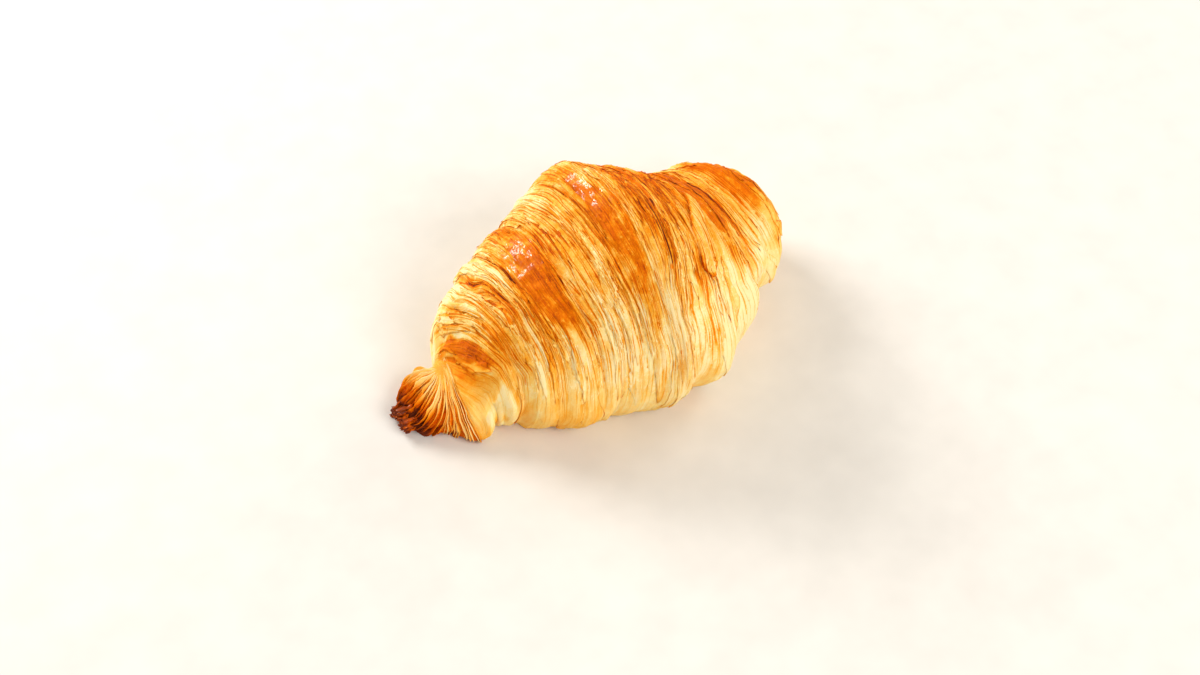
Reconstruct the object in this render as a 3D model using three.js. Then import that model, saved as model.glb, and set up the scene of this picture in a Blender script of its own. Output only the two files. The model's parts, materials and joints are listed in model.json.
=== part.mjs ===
import * as THREE from "three";

// A butter croissant lying on its flat underside: one solid of baked dough, in millimetres, +Z up.
// The body runs along X from a frayed tip on the left to a blunt end on the right, and its line bends
// back towards +Y there. The dough is rolled up, so the body is a row of overlapping wraps. Each wrap
// has a smooth band, and beside the band the cut edge of the dough falls away in layers.

// Ends of the body along its line, the sideways bend of that line, and the middle of its outline
const LEFT_END = -78;
const RIGHT_END = 68;
const LINE_OFFSET = -1.6;
const LEFT_BEND = 0.0006;
const RIGHT_BEND = 0.005;
const OUTLINE_MIDDLE = { x: -3.7, y: -1.5 };

// Wraps from left to right. from and to bound the smooth band at the top of the body, and reach is
// its half width at those two places. height is the full height at the middle of the band, and lean
// is how far the wrap shifts from its top to its front. left and right are cut edges: how long each
// runs, how deep it falls and in how many layers. A side without one falls away softly.
const WRAPS = [
  { from: -54, to: -44, reach: [22.5, 26], height: 37, lean: 5, left: { run: 3, fall: 4, layers: 1 } },
  { from: -35, to: -25, reach: [33, 36.5], height: 48, lean: 0, left: { run: 9, fall: 4, layers: 3 } },
  {
    from: -10,
    to: 8,
    reach: [42.5, 44.5],
    height: 62.5,
    lean: -1,
    left: { run: 13, fall: 4.5, layers: 4 },
    right: { run: 18, fall: 4, layers: 4 },
  },
  {
    from: 29,
    to: 41,
    reach: [35, 30],
    height: 42.5,
    lean: -7,
    left: { run: 3, fall: 1, layers: 1 },
    right: { run: 9, fall: 4, layers: 3 },
  },
  { from: 51, to: 61, reach: [25, 22.5], height: 34.5, lean: -3 },
];

// How a wrap's surface swells across its band, falls off a soft side, and drops into a valley
const BAND_CROWN = 0.1;
const SOFT_SLOPE = 0.1;
const SOFT_CURVE = 0.012;
const VALLEY_SLOPE = 1.6;
const LOW_VALLEY_SLOPE = 1.0;

// Frayed fan at the left end: where it leaves the first wrap, its half width, its height over its
// width, its folds in half a turn, and how uneven and hollow its end is
const FAN_ROOT = -58;
const FAN_REACH = 16;
const FAN_SLIMNESS = 0.46;
const FAN_FOLDS = 11;
const FAN_FOLD_DEPTH = 1.5;
const FAN_RAGGED = 1.6;
const FAN_HOLLOW = 3;

// Blunt right end: the length over which it rounds off, its last bluntness, and its middle's rise
const END_ROUND = 15;
const END_BLUNTNESS = 0.6;
const RISE_START = 44;
const END_RISE = 3;

// Lobes (out positive) and notches (out negative) low at the front and at the back of the body
const FRONT_LOBES = [
  { at: -58, half: 6, out: 6 },
  { at: -44, half: 3, out: -1.6 },
  { at: -29, half: 6, out: 2 },
  { at: -20, half: 3, out: -2 },
  { at: -3, half: 6, out: 1.6 },
  { at: 4, half: 2.5, out: -3 },
  { at: 12, half: 5, out: 3.5 },
  { at: 30, half: 11, out: -6 },
  { at: 47, half: 4, out: 2 },
];
const BACK_LOBES = [
  { at: -52, half: 5, out: 2 },
  { at: -41, half: 3, out: -2 },
  { at: -29, half: 6, out: 2 },
  { at: -17, half: 3, out: -2.2 },
  { at: 3, half: 9, out: 2 },
  { at: 17, half: 3, out: -2.2 },
  { at: 31, half: 7, out: 2 },
  { at: 46, half: 3, out: -2.4 },
];

// Tongue: the pointed end of the dough strip, which lies over the top and ends at the front
const TONGUE_TOP = { x: 21, turn: 98 };
const TONGUE_FRONT = { x: 14, turn: 44 };
const TONGUE_HALF_WIDTH = 3;
const TONGUE_THICKNESS = 1.3;

// Section across the line: roundness above and below its widest level, and how it meets the floor
const UPPER_ROUNDNESS = 2.05;
const LOWER_ROUNDNESS = 2.3;
const WIDEST_LEVEL = 0.42;
const FLATTENING = 1.32;
const STEEPEST_BASE_TURN = 78;

// Facets: rings along the body, and points up and over each ring and across its base
const RINGS = 104;
const SIDE_POINTS = 38;
const BASE_POINTS = 2;

const CRUST_COLOUR = 0xdb9a3c;
const CRUST_ROUGHNESS = 0.5;

const radians = THREE.MathUtils.degToRad;
const smooth = THREE.MathUtils.smoothstep;
const clamp = THREE.MathUtils.clamp;

function lineSideways(x) {
  const bend = x > 0 ? RIGHT_BEND : LEFT_BEND;
  return LINE_OFFSET + bend * x * x;
}

function lineHeading(x) {
  const bend = x > 0 ? RIGHT_BEND : LEFT_BEND;
  return Math.atan(2 * bend * x);
}

// Rises from 0 to 1 in the given number of soft steps, as layers do at a cut edge
function layered(t, layers) {
  const step = Math.min(Math.floor(t * layers), layers - 1);
  return (step + smooth(t * layers - step, 0, 1)) / layers;
}

// How far the surface lies under the band at a distance beyond the band's edge
function edgeDrop(distance, edge, low) {
  if (distance <= 0) return 0;
  if (!edge) return SOFT_SLOPE * distance + SOFT_CURVE * distance * distance;
  const cut = edge.fall * layered(Math.min(distance / edge.run, 1), edge.layers);
  const valley = Math.max(distance - edge.run, 0) * (VALLEY_SLOPE + LOW_VALLEY_SLOPE * low);
  return cut + valley;
}

function wrapReach(wrap, x, turn, low) {
  const shift = wrap.lean * clamp((90 - turn) / 90, -0.6, 1);
  const from = wrap.from + shift;
  const to = wrap.to + shift;
  const across = clamp((x - from) / (to - from), 0, 1);
  const crown = BAND_CROWN * (to - from) * Math.sin(Math.PI * across);
  const band = THREE.MathUtils.lerp(wrap.reach[0], wrap.reach[1], across) + crown;
  return band - edgeDrop(from - x, wrap.left, low) - edgeDrop(x - to, wrap.right, low);
}

function fanReach(x, turn) {
  const along = clamp((x - LEFT_END + 3) / (FAN_ROOT - LEFT_END), 0, 1);
  const fold = Math.cos(radians(turn * FAN_FOLDS) + 0.1 * x);
  return FAN_REACH * along ** 0.75 + FAN_FOLD_DEPTH * fold * smooth(FAN_ROOT - x, 0, 6);
}

function lobes(list, x) {
  return list.reduce((sum, lobe) => sum + lobe.out * Math.exp(-(((x - lobe.at) / lobe.half) ** 2)), 0);
}

// Strip along the tongue, rising sharply at its sides and at its rounded front end
function tongueRelief(x, turn) {
  const along = (TONGUE_TOP.turn - turn) / (TONGUE_TOP.turn - TONGUE_FRONT.turn);
  const middle = THREE.MathUtils.lerp(TONGUE_TOP.x, TONGUE_FRONT.x, along);
  const half = TONGUE_HALF_WIDTH * (0.45 + 0.55 * clamp(along, 0, 1));
  const side = 1 - smooth(Math.abs(x - middle), half * 0.7, half * 1.15);
  const end = 1 - smooth(along, 0.94, 1.04);
  return TONGUE_THICKNESS * side * end * smooth(along, -0.1, 0.5);
}

// Half width of the body at a place x along its line and a turn: 0 front, 90 top, 180 back
function reachAt(x, turn) {
  const front = 1 - smooth(turn, -25, 25);
  const back = smooth(turn, 155, 205);
  const low = front + back;
  let reach = Math.max(...WRAPS.map((wrap) => wrapReach(wrap, x, turn, low)));
  if (x < FAN_ROOT + 8) reach = Math.max(reach, fanReach(x, turn));
  reach += front * lobes(FRONT_LOBES, x) + back * lobes(BACK_LOBES, x);
  return reach + tongueRelief(x, turn);
}

// Height over width, eased from the fan through the middles of the wraps
function slimness(x) {
  const marks = [{ at: FAN_ROOT - 5, value: FAN_SLIMNESS }];
  WRAPS.forEach((wrap) => {
    const width = wrap.reach[0] + wrap.reach[1];
    marks.push({ at: (wrap.from + wrap.to) / 2, value: wrap.height / width });
  });
  if (x <= marks[0].at) return marks[0].value;
  const next = marks.findIndex((mark) => mark.at > x);
  if (next < 0) return marks[marks.length - 1].value;
  const before = marks[next - 1];
  const after = marks[next];
  return THREE.MathUtils.lerp(before.value, after.value, smooth(x, before.at, after.at));
}

// Share of the full section that is left where the right end rounds off
function endShare(x) {
  const round = clamp((x - RIGHT_END + END_ROUND) / (END_ROUND + END_BLUNTNESS), 0, 1);
  return Math.sqrt(1 - round * round);
}

// Point of the surface at a place along the line and a turn round it
function surfacePoint(x, turn) {
  const reach = reachAt(x, turn);
  const share = endShare(x);
  const middle = 2 * WIDEST_LEVEL * reachAt(x, 90) * slimness(x);
  const rise = END_RISE * smooth(x, RISE_START, RIGHT_END);
  const sine = Math.sin(radians(turn));
  const cosine = Math.cos(radians(turn));
  const power = 2 / (sine > 0 ? UPPER_ROUNDNESS : LOWER_ROUNDNESS);
  const span = sine > 0 ? 2 * reach * slimness(x) - middle : middle * FLATTENING;
  const out = -reach * share * Math.sign(cosine) * Math.abs(cosine) ** power;
  const up = middle + rise + span * share * Math.sign(sine) * Math.abs(sine) ** power;
  const heading = lineHeading(x);
  const point = new THREE.Vector3();
  point.x = x - Math.sin(heading) * out - OUTLINE_MIDDLE.x;
  point.y = lineSideways(x) + Math.cos(heading) * out - OUTLINE_MIDDLE.y;
  point.z = Math.max(up, 0);
  return point;
}

// Turn, below the horizontal, at which a ring reaches the floor
function baseTurn(x) {
  const depth = Math.min(1 / (FLATTENING * endShare(x)), 1);
  const turn = THREE.MathUtils.radToDeg(Math.asin(depth ** (LOWER_ROUNDNESS / 2)));
  return Math.min(turn, STEEPEST_BASE_TURN);
}

// One closed ring: from the front edge of the base over the top to the back edge, then across the base
function ring(x) {
  const lowest = baseTurn(x);
  const points = [];
  for (let k = 0; k <= SIDE_POINTS; k += 1) {
    const turn = -lowest + ((180 + 2 * lowest) * k) / SIDE_POINTS;
    points.push(surfacePoint(x, turn));
  }
  const back = points[SIDE_POINTS];
  const front = points[0];
  for (let k = 1; k <= BASE_POINTS; k += 1) {
    points.push(back.clone().lerp(front, k / (BASE_POINTS + 1)));
  }
  return points;
}

// The first ring is ragged, as the layers of the fan end at different lengths
function raggedEnd(points) {
  points.forEach((point, k) => {
    point.x -= FAN_RAGGED * (0.5 + 0.5 * Math.cos(k * 2.4));
  });
}

function addTriangle(indices, a, b, c) {
  indices.push(a, b, c);
}

// Fan of triangles from one middle point to an end ring
function closeEnd(vertices, indices, points, start, inward, outwards) {
  const middle = new THREE.Vector3();
  points.forEach((point) => middle.add(point));
  middle.divideScalar(points.length);
  middle.x += inward;
  const tip = vertices.length;
  vertices.push(middle);
  points.forEach((_, k) => {
    const here = start + k;
    const next = start + ((k + 1) % points.length);
    if (outwards) addTriangle(indices, here, next, tip);
    else addTriangle(indices, next, here, tip);
  });
}

function croissantGeometry() {
  const vertices = [];
  const indices = [];
  const rings = [];
  for (let k = 0; k <= RINGS; k += 1) {
    const x = THREE.MathUtils.lerp(LEFT_END, RIGHT_END, k / RINGS);
    rings.push(ring(x));
  }
  raggedEnd(rings[0]);
  rings.forEach((points) => vertices.push(...points));
  const around = rings[0].length;
  for (let k = 0; k < RINGS; k += 1) {
    for (let j = 0; j < around; j += 1) {
      const a = k * around + j;
      const b = k * around + ((j + 1) % around);
      addTriangle(indices, a, b + around, b);
      addTriangle(indices, a, a + around, b + around);
    }
  }
  closeEnd(vertices, indices, rings[0], 0, FAN_HOLLOW, true);
  closeEnd(vertices, indices, rings[RINGS], RINGS * around, 0, false);
  const positions = vertices.flatMap((vertex) => [vertex.x, vertex.y, vertex.z]);
  const geometry = new THREE.BufferGeometry();
  geometry.setAttribute("position", new THREE.Float32BufferAttribute(positions, 3));
  geometry.setIndex(indices);
  geometry.computeVertexNormals();
  return geometry;
}

const crust = new THREE.MeshStandardMaterial({
  color: CRUST_COLOUR,
  roughness: CRUST_ROUGHNESS,
  metalness: 0,
});

const croissant = new THREE.Mesh(croissantGeometry(), crust);
croissant.name = "croissant";

const model = new THREE.Group();
model.add(croissant);

export default model;
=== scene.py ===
import json
import math

import bpy
import numpy as np
from mathutils import Matrix, Vector

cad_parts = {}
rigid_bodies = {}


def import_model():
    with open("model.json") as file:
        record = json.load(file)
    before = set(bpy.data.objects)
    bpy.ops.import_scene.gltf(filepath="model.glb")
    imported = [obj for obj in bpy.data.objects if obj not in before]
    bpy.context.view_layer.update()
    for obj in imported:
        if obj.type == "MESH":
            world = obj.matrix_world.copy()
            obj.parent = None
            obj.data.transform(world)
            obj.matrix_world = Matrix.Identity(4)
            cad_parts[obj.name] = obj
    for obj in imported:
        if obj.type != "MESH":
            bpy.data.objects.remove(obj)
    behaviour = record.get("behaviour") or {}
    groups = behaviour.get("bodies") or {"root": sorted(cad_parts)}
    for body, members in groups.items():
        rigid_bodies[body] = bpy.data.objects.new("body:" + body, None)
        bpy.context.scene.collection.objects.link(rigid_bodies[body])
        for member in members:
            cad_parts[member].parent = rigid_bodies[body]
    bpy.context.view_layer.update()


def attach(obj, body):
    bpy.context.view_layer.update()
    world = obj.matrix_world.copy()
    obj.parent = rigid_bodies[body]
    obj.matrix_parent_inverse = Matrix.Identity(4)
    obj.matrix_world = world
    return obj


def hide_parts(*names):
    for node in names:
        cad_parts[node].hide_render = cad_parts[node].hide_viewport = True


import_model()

MILLIMETRE = 0.001
BODY = "root"
NODE = "croissant"

# The body: ends of its line, the sideways bend of that line, and the middle of its outline
LEFT_END = -78.0
RIGHT_END = 68.0
LINE_OFFSET = -1.6
LEFT_BEND = 0.0006
RIGHT_BEND = 0.005
OUTLINE_MIDDLE = np.array([-3.7, -1.5, 0.0])

# Wraps: smooth band from start to stop, half width at both, full height, and the shift from top to
# front. left and right are cut edges as length, depth and number of layers
WRAPS = (
    dict(start=-54, stop=-44, reach=(22.5, 26), height=37, lean=5, left=(3, 4, 1), right=None),
    dict(start=-35, stop=-25, reach=(33, 36.5), height=48, lean=0, left=(9, 4, 3), right=None),
    dict(start=-10, stop=8, reach=(42.5, 44.5), height=62.5, lean=-1, left=(13, 4.5, 4), right=(18, 4, 4)),
    dict(start=29, stop=41, reach=(35, 30), height=42.5, lean=-7, left=(3, 1, 1), right=(9, 4, 3)),
    dict(start=51, stop=61, reach=(25, 22.5), height=34.5, lean=-3, left=None, right=None),
)
BAND_CROWN = 0.1
SOFT_SLOPE = 0.1
SOFT_CURVE = 0.012
VALLEY_SLOPE = 1.6
LOW_VALLEY_SLOPE = 1.0

# Fan at the left end
FAN_ROOT = -58.0
FAN_REACH = 16.0
FAN_SLIMNESS = 0.46
WAIST_LINE = -61.6
WAIST_HALF = 3.0
WAIST_DEPTH = 4.6

# Blunt right end
END_ROUND = 15.0
END_BLUNTNESS = 0.6
RISE_START = 44.0
END_RISE = 3.0

# Lobes and notches low at the front and the back: place, half length, and how far out
FRONT_LOBES = (
    (-58, 6, 6), (-44, 3, -1.6), (-29, 6, 2), (-20, 3, -2), (-3, 6, 1.6),
    (4, 2.5, -3), (12, 5, 3.5), (30, 11, -6), (47, 4, 2),
)
BACK_LOBES = (
    (-52, 5, 2), (-41, 3, -2), (-29, 6, 2), (-17, 3, -2.2),
    (3, 9, 2), (17, 3, -2.2), (31, 7, 2), (46, 3, -2.4),
)

# Section across the line
UPPER_ROUNDNESS = 2.05
LOWER_ROUNDNESS = 2.3
WIDEST_LEVEL = 0.42
FLATTENING = 1.32
STEEPEST_BASE_TURN = 78.0

# How far the strands lean towards the left at the front, by their place on top
LEAN_PLACES = (-78, -70, -62, -54, -44, -35, -20, -10, -2, 12, 22, 36, 46, 56, 68)
LEANS = (0, 5, 9, 9, 4, 1, 0, -2, -6, -18, -17, -13, -9, -5, 0)
LEAN_TURNS = (30, 45, 90, 120, 150)
LEAN_SHARES = (0.6, 0.5, 0.0, -0.33, -0.6)

# Fineness of the crust's mesh, and the strands where one piece of crust ends and the next begins
SEAMS = (-22.0, 26.0)
LAYER_ROWS = (0.0, 0.04, 0.12, 0.28, 0.44, 0.6, 0.76, 0.9, 0.965)
SIDE_POINTS = 186
BASE_POINTS = 8
END_ROWS = 100
# The relief fades out over this length at the right end
END_FADE = 1.5
# Thin layers side by side: how many there are, and where the first one starts
LAYER_COUNT = 700
FIRST_LAYER = -90.0

# Browned patches: strand in the middle, half width, turns where it starts and stops, and depth. A few of them
# are painted light or shade, as marked
BROWNING_AND_PAINTED_LIGHT_PATCHES = (
    (-55.6, 1.2, 60, 120, 0.34),
    (-53.2, 1.6, 62, 128, -0.10),
    (-45.0, 7.0, 96, 190, -0.10),
    (-44.0, 13.0, 76, 128, -0.09),
    (-43.7, 1.8, 50, 150, 0.20),
    (-36.3, 1.4, 55, 118, 0.20),
    (-30.0, 5.0, 51, 104, 0.26),
    (-30.5, 3.4, 60, 92, 0.12),
    (-29.5, 4.6, 113, 150, 0.14),
    (-18.0, 6.0, 92, 190, -0.08),
    (-5.5, 4.4, 32, 102, 0.22),
    (-5.0, 2.8, 60, 80, 0.12),
    (-6.5, 3.0, 104, 150, 0.18),
    # Paler low on the middle of the front: painted light
    (-8.0, 15.0, 12, 62, -0.08),
    (-47.0, 13.0, 88, 190, -0.1),
    (-44.0, 18.0, -60, 16, 0.11),
    (15.0, 13.0, 70, 150, 0.11),
    # These two: browner low at the right end: painted shade
    (46.0, 14.0, -60, 32, 0.08),
    (60.0, 5.0, -60, 22, 0.07),
    (26.0, 7.0, -60, 48, -0.12),
    (33.0, 4.0, 74, 98, 0.17),
    (36.5, 5.6, 58, 140, 0.28),
    (37.0, 4.2, 78, 128, 0.22),
    (47.0, 6.0, -60, 70, -0.05),
    (56.0, 4.6, 52, 128, 0.22),
)
# Smooth glossy bands: strand in the middle and half width
BANDS = ((-30.0, 5.4), (-5.0, 5.0), (36.0, 5.2), (56.0, 4.4))
# Deep narrow creases, sunk into the crust and darkened, partly browned and partly painted shade: strand,
# turns where it starts and stops, and depth
CREASES = (
    (-57.9, 78, 125, 0.5), (-50.4, 62, 150, 0.5), (-44.6, 52, 165, 0.8),
    (-42.9, 60, 150, 0.6), (-36.4, 64, 140, 0.8),
    (-24.7, 20, 120, 0.9), (-17.2, 10, 60, 0.5), (-10.6, 30, 130, 0.7), (-0.6, 35, 130, 0.5),
    (9.5, 50, 150, 0.7), (17.0, 40, 140, 0.8), (42.5, 30, 150, 0.8), (49.5, 30, 150, 0.7),
)

# Hinge at the waist, where the folds of the fan spread out from
HINGE_LINE = -61.8
HINGE_TURN = 108.0
FAN_DEGREE = 0.24
FAN_EDGE_TURNS = (-50, -27, 18, 62, 92, 120, 160)
FAN_EDGES = (-58.5, -59.8, -61.8, -62.0, -60.8, -60.2, -61.4)
# Share of a full turn's arc at places along the body, so that crumples are as long as they are wide
ARC_PLACES = (-78, -60, -45, -28, 0, 30, 50, 68)
ARC_SHARES = (0.3, 0.36, 0.58, 0.8, 1.0, 0.85, 0.6, 0.4)

# Browning of the underside, and of the point that closes a length of crust at its left end
BASE_BROWNING = 0.42
TIP_BROWNING = 0.8
# How far that point is drawn into the body at the fan
TIP_TUCK = 3.0

# Torn flakes: shapes to pick from, how many on a square metre where the crust flakes most, their
# smallest and largest size against their shape, and their thickness
FLAKE_SHAPES = 5
FLAKE_DENSITY = 45000.0
FLAKE_SMALLEST = 0.3
FLAKE_LARGEST = 1.1
FLAKE_THICKNESS = 0.09
# Values that a flake takes from the crust under it, and not from its own shape
FLAKE_DROPPED = ("browning", "gap", "band", "dough")

# Loose ends of layers: how many are tried, and their thickness. They and the hanging layers are
# browner on the side that lies on the crust, as painted shade under them
STRIPS = 380
STRIP_THICKNESS = 0.16
UNDERSIDE_SHADE = 0.3

# Leaves of the fan: degrees from one to the next
LEAF_SPACING = 3.9
# Rolled ends of the fan: turn, place from the middle to the edge, length and thickness
ROLLS = (
    (128, 0.85, 6.0, 0.95), (84, 0.8, 6.5, 1.15), (46, 0.85, 5.5, 1.0),
    (14, 0.9, 4.5, 0.8), (165, 0.85, 4.5, 0.8),
)
SMALL_ROLLS = 24
# Leaves round the waist: their number, the turns they pass, and the places they lie between there
WAIST_STRANDS = 15
WAIST_TURNS = (121, 92, 62, 18, -27, -60)
WAIST_RIGHT = (-59.0, -60.4, -61.8, -61.6, -59.8, -58.0)
WAIST_LEFT = (-60.8, -62.8, -65.6, -68.0, -68.6, -68.6)

# Tongue: the turns and strands it passes, its half width and its thickness
TONGUE_TURNS = (104.0, 81.0, 67.0, 59.0, 41.0)
TONGUE_STRANDS = (29.5, 27.1, 22.9, 21.9, 21.4)
TONGUE_HALF_WIDTH = 2.3
TONGUE_THICKNESS = 1.1

# View, as the photograph has it: lens and sensor in millimetres, distance and target in metres
LENS = 70.0
SENSOR = 36.0
VIEW_DISTANCE = 0.79
VIEW_ELEVATION = 47.4
VIEW_AZIMUTH = -35.0
VIEW_ROLL = 2.5
VIEW_TARGET = Vector((0.0012, 0.0015, 0.0))

# Softboxes: name, place and size in metres, and power; all face one point in the croissant
SOFTBOXES = (
    ("back_softbox", (-0.30, 0.92, 0.55), (0.62, 0.44), 12.5),
    ("left_softbox", (-0.95, 0.1, 0.75), (0.8, 0.7), 1.2),
    ("right_softbox", (0.95, 0.15, 0.55), (0.5, 0.4), 3.0),
    ("front_softbox", (0.2, -0.93, 0.8), (0.8, 0.6), 10.6),
)
LIGHT_TARGET = Vector((0, 0, 0.02))
STUDIO_COLOUR = (1, 0.93, 0.83, 1)
STUDIO_STRENGTH = 0.45
# Half the floor's side
FLOOR_HALF = 4000.0


def smooth(low, high, value):
    """0 at low and 1 at high, with an eased climb between them."""
    t = np.clip((value - low) / (high - low), 0, 1)
    return t * t * (3 - 2 * t)


def lattice(ix, iy, seed):
    """A number between 0 and 1 for each whole point of a grid, the same on every run."""
    mixed = (ix * 374761393 + iy * 668265263 + seed * 97471) & 0xFFFFFFFF
    mixed = ((mixed ^ (mixed >> 13)) * 1274126177) & 0xFFFFFFFF
    return ((mixed ^ (mixed >> 16)) & 0xFFFF) / 65535.0


def noise(x, y, seed):
    """Smooth noise between -1 and 1."""
    x, y = np.broadcast_arrays(np.asarray(x, float), np.asarray(y, float))
    ix, iy = np.floor(x).astype(np.int64), np.floor(y).astype(np.int64)
    fx, fy = smooth(0, 1, x - ix), smooth(0, 1, y - iy)
    low = lattice(ix, iy, seed) * (1 - fx) + lattice(ix + 1, iy, seed) * fx
    high = lattice(ix, iy + 1, seed) * (1 - fx) + lattice(ix + 1, iy + 1, seed) * fx
    return 2 * (low * (1 - fy) + high * fy) - 1


def line_bend(x):
    """How strongly the body's line bends on either side of its middle."""
    return np.where(x > 0, RIGHT_BEND, LEFT_BEND)


def layered(t, layers):
    """A climb from 0 to 1 in soft steps, one for each layer."""
    step = np.minimum(np.floor(t * layers), layers - 1)
    return (step + smooth(0, 1, t * layers - step)) / layers


def edge_drop(distance, edge, low):
    """How far a wrap has fallen at a distance past its band: over its cut edge, then the valley."""
    beyond = np.maximum(distance, 0)
    if edge is None:
        return SOFT_SLOPE * beyond + SOFT_CURVE * beyond * beyond
    run, fall, layers = edge
    cut = fall * layered(np.minimum(beyond / run, 1), layers)
    return cut + np.maximum(beyond - run, 0) * (VALLEY_SLOPE + LOW_VALLEY_SLOPE * low)


def wrap_reach(wrap, x, turn, low):
    """Half width that one wrap alone would give the body."""
    shift = wrap["lean"] * np.clip((90 - turn) / 90, -0.6, 1)
    start, stop = wrap["start"] + shift, wrap["stop"] + shift
    length = wrap["stop"] - wrap["start"]
    across = np.clip((x - start) / length, 0, 1)
    band = wrap["reach"][0] + (wrap["reach"][1] - wrap["reach"][0]) * across
    crown = BAND_CROWN * length * np.sin(np.pi * across)
    return band + crown - edge_drop(start - x, wrap["left"], low) - edge_drop(x - stop, wrap["right"], low)


def lobe_sum(lobes, x):
    """How far all the lobes and notches together stand out at a place."""
    return sum(out * np.exp(-(((x - at) / half) ** 2)) for at, half, out in lobes)


def reach_at(x, turn):
    """Half width of the body at a place along its line and a turn round it."""
    front = 1 - smooth(-25, 25, turn)
    back = smooth(155, 205, turn)
    low = front + back
    reach = np.max([wrap_reach(wrap, x, turn, low) for wrap in WRAPS], axis=0)
    along = np.clip((x - LEFT_END + 3) / (FAN_ROOT - LEFT_END), 0, 1)
    fan = np.where(x < FAN_ROOT + 8, FAN_REACH * along ** 0.75, 0)
    waist = WAIST_DEPTH * np.exp(-(((x - WAIST_LINE) / WAIST_HALF) ** 2)) * smooth(105, 155, turn)
    reach = np.maximum(reach, fan) - waist
    return reach + front * lobe_sum(FRONT_LOBES, x) + back * lobe_sum(BACK_LOBES, x)


def slimness(x):
    """Height over width, eased from the fan through the middles of the wraps."""
    at = [FAN_ROOT - 5] + [(wrap["start"] + wrap["stop"]) / 2 for wrap in WRAPS]
    value = [FAN_SLIMNESS] + [wrap["height"] / sum(wrap["reach"]) for wrap in WRAPS]
    at, value = np.array(at), np.array(value)
    after = np.clip(np.searchsorted(at, x, "right"), 1, len(at) - 1)
    share = smooth(at[after - 1], at[after], x)
    return value[after - 1] + (value[after] - value[after - 1]) * share


def end_share(x):
    """1 along the body, down to almost 0 over the blunt right end."""
    rounding = np.clip((x - RIGHT_END + END_ROUND) / (END_ROUND + END_BLUNTNESS), 0, 1)
    return np.sqrt(1 - rounding * rounding)


def body_point(x, turn):
    """Point of the smooth body, in the frame's millimetres."""
    x, turn = np.broadcast_arrays(np.asarray(x, float), np.asarray(turn, float))
    reach, share, slim = reach_at(x, turn), end_share(x), slimness(x)
    middle = 2 * WIDEST_LEVEL * reach_at(x, np.full_like(x, 90.0)) * slim
    rise = END_RISE * smooth(RISE_START, RIGHT_END, x)
    sine, cosine = np.sin(np.radians(turn)), np.cos(np.radians(turn))
    power = 2 / np.where(sine > 0, UPPER_ROUNDNESS, LOWER_ROUNDNESS)
    span = np.where(sine > 0, 2 * reach * slim - middle, middle * FLATTENING)
    out = -reach * share * np.sign(cosine) * np.abs(cosine) ** power
    up = middle + rise + span * share * np.sign(sine) * np.abs(sine) ** power
    heading = np.arctan(2 * line_bend(x) * x)
    sideways = LINE_OFFSET + line_bend(x) * x * x
    point = np.stack([x - np.sin(heading) * out, sideways + np.cos(heading) * out, up], -1)
    return point - OUTLINE_MIDDLE


def base_turn(x):
    """Degrees below the front at which the side meets the base."""
    depth = np.minimum(1 / (FLATTENING * np.maximum(end_share(x), 1e-6)), 1)
    turn = np.degrees(np.arcsin(depth ** (LOWER_ROUNDNESS / 2)))
    return np.minimum(turn, STEEPEST_BASE_TURN)


def strand_line(s, turn):
    """Place along the line where a strand lies at a turn: it leans and wanders, but not at the ends."""
    lean = np.interp(s, LEAN_PLACES, LEANS) * np.interp(turn, LEAN_TURNS, LEAN_SHARES)
    wander = 1.1 * noise(s / 15, turn / 38, 3) + 0.35 * noise(s / 6, turn / 15, 4)
    free = smooth(LEFT_END, LEFT_END + 8, s) * (1 - smooth(RIGHT_END - 12, RIGHT_END, s))
    return s + (lean + wander) * free


def unit(vectors):
    """The same directions with a length of one."""
    return vectors / np.maximum(np.linalg.norm(vectors, axis=-1, keepdims=True), 1e-9)


def outward(points):
    """Unit normals of a grid of points, pointing away from the body."""
    return unit(np.cross(np.gradient(points, axis=0), np.gradient(points, axis=1)))


def body_skin(x, turn):
    """Points of the smooth body at places along the line and turns, and its normals there."""
    points = body_point(x, turn)
    return points, unit(np.cross(body_point(x + 0.4, turn) - points, body_point(x, turn + 1) - points))


class Layers:
    """Thin layers of dough side by side along the body, each with its own height and tone."""

    def __init__(self, narrow, wide, seed):
        random = np.random.default_rng(seed)
        widths = narrow + (wide - narrow) * random.uniform(0, 1, LAYER_COUNT) ** 1.6
        self.edges = np.cumsum(widths) + FIRST_LAYER
        self.seed = seed

    def at(self, s):
        """Number of the layer at a place, how far across the layer it is, and the layer's width."""
        index = np.clip(np.searchsorted(self.edges, s + 1e-6, "right"), 1, len(self.edges) - 1)
        left, right = self.edges[index - 1], self.edges[index]
        return index, np.clip((s - left) / (right - left), 0, 1), right - left

    def own(self, index, turn, length, salt):
        """Noise that each layer has for itself, changing slowly round the body."""
        return noise(index * 7.31 + 0.5, turn / length + index * 3.7, self.seed + salt)


COARSE = Layers(2.6, 7.5, 11)
FINE = Layers(0.8, 2.8, 12)


def fan_polar(x, turn):
    """Direction from the hinge, 0 towards the tip and 90 down the front, and distance from it."""
    aside = (HINGE_TURN - turn) * FAN_DEGREE
    ahead = HINGE_LINE - x
    return np.degrees(np.arctan2(aside, ahead)), np.hypot(aside, ahead)


def fan_share(x, turn):
    """1 on the fan, 0 on the wraps."""
    return 1 - smooth(-1.0, 1.0, x - np.interp(turn, FAN_EDGE_TURNS, FAN_EDGES))


def pocket_share(x, turn):
    """1 on the smooth fold between the fan and the left wrap."""
    border = 34 + 5.2 * (-49 - x)
    return smooth(-63.0, -60.0, x) * (1 - smooth(-8, 6, turn - border)) * (1 - smooth(-50, -46, x))


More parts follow.
